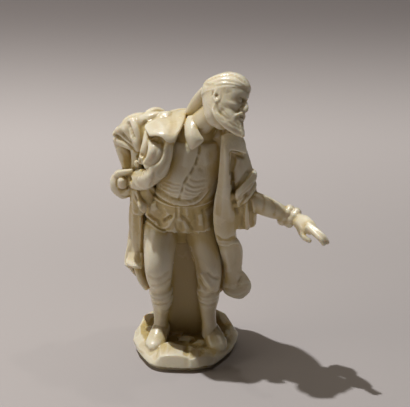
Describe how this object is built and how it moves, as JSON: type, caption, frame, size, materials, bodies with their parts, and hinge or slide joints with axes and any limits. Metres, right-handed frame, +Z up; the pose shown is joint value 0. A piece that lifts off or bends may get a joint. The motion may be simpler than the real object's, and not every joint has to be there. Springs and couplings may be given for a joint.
{
  "type": "porcelain commedia dell'arte figure",
  "caption": "Glazed porcelain statuette of a stooping old man in cap, long coat and doublet, one hand held out, on a rocky base.",
  "frame": {"origin": "on the flat underside of the base, under the middle of the base", "axes": "+Z up the figure, -Y the way the body faces, +X towards the outstretched left hand"},
  "size_m": [0.1195, 0.0782, 0.1823],
  "materials": {
    "glaze": "cream white glaze over porcelain, glossy, greyer and warmer where it pools in the folds"
  },
  "bodies": {
    "root": {"figure": "glaze"}
  },
  "joints": []
}
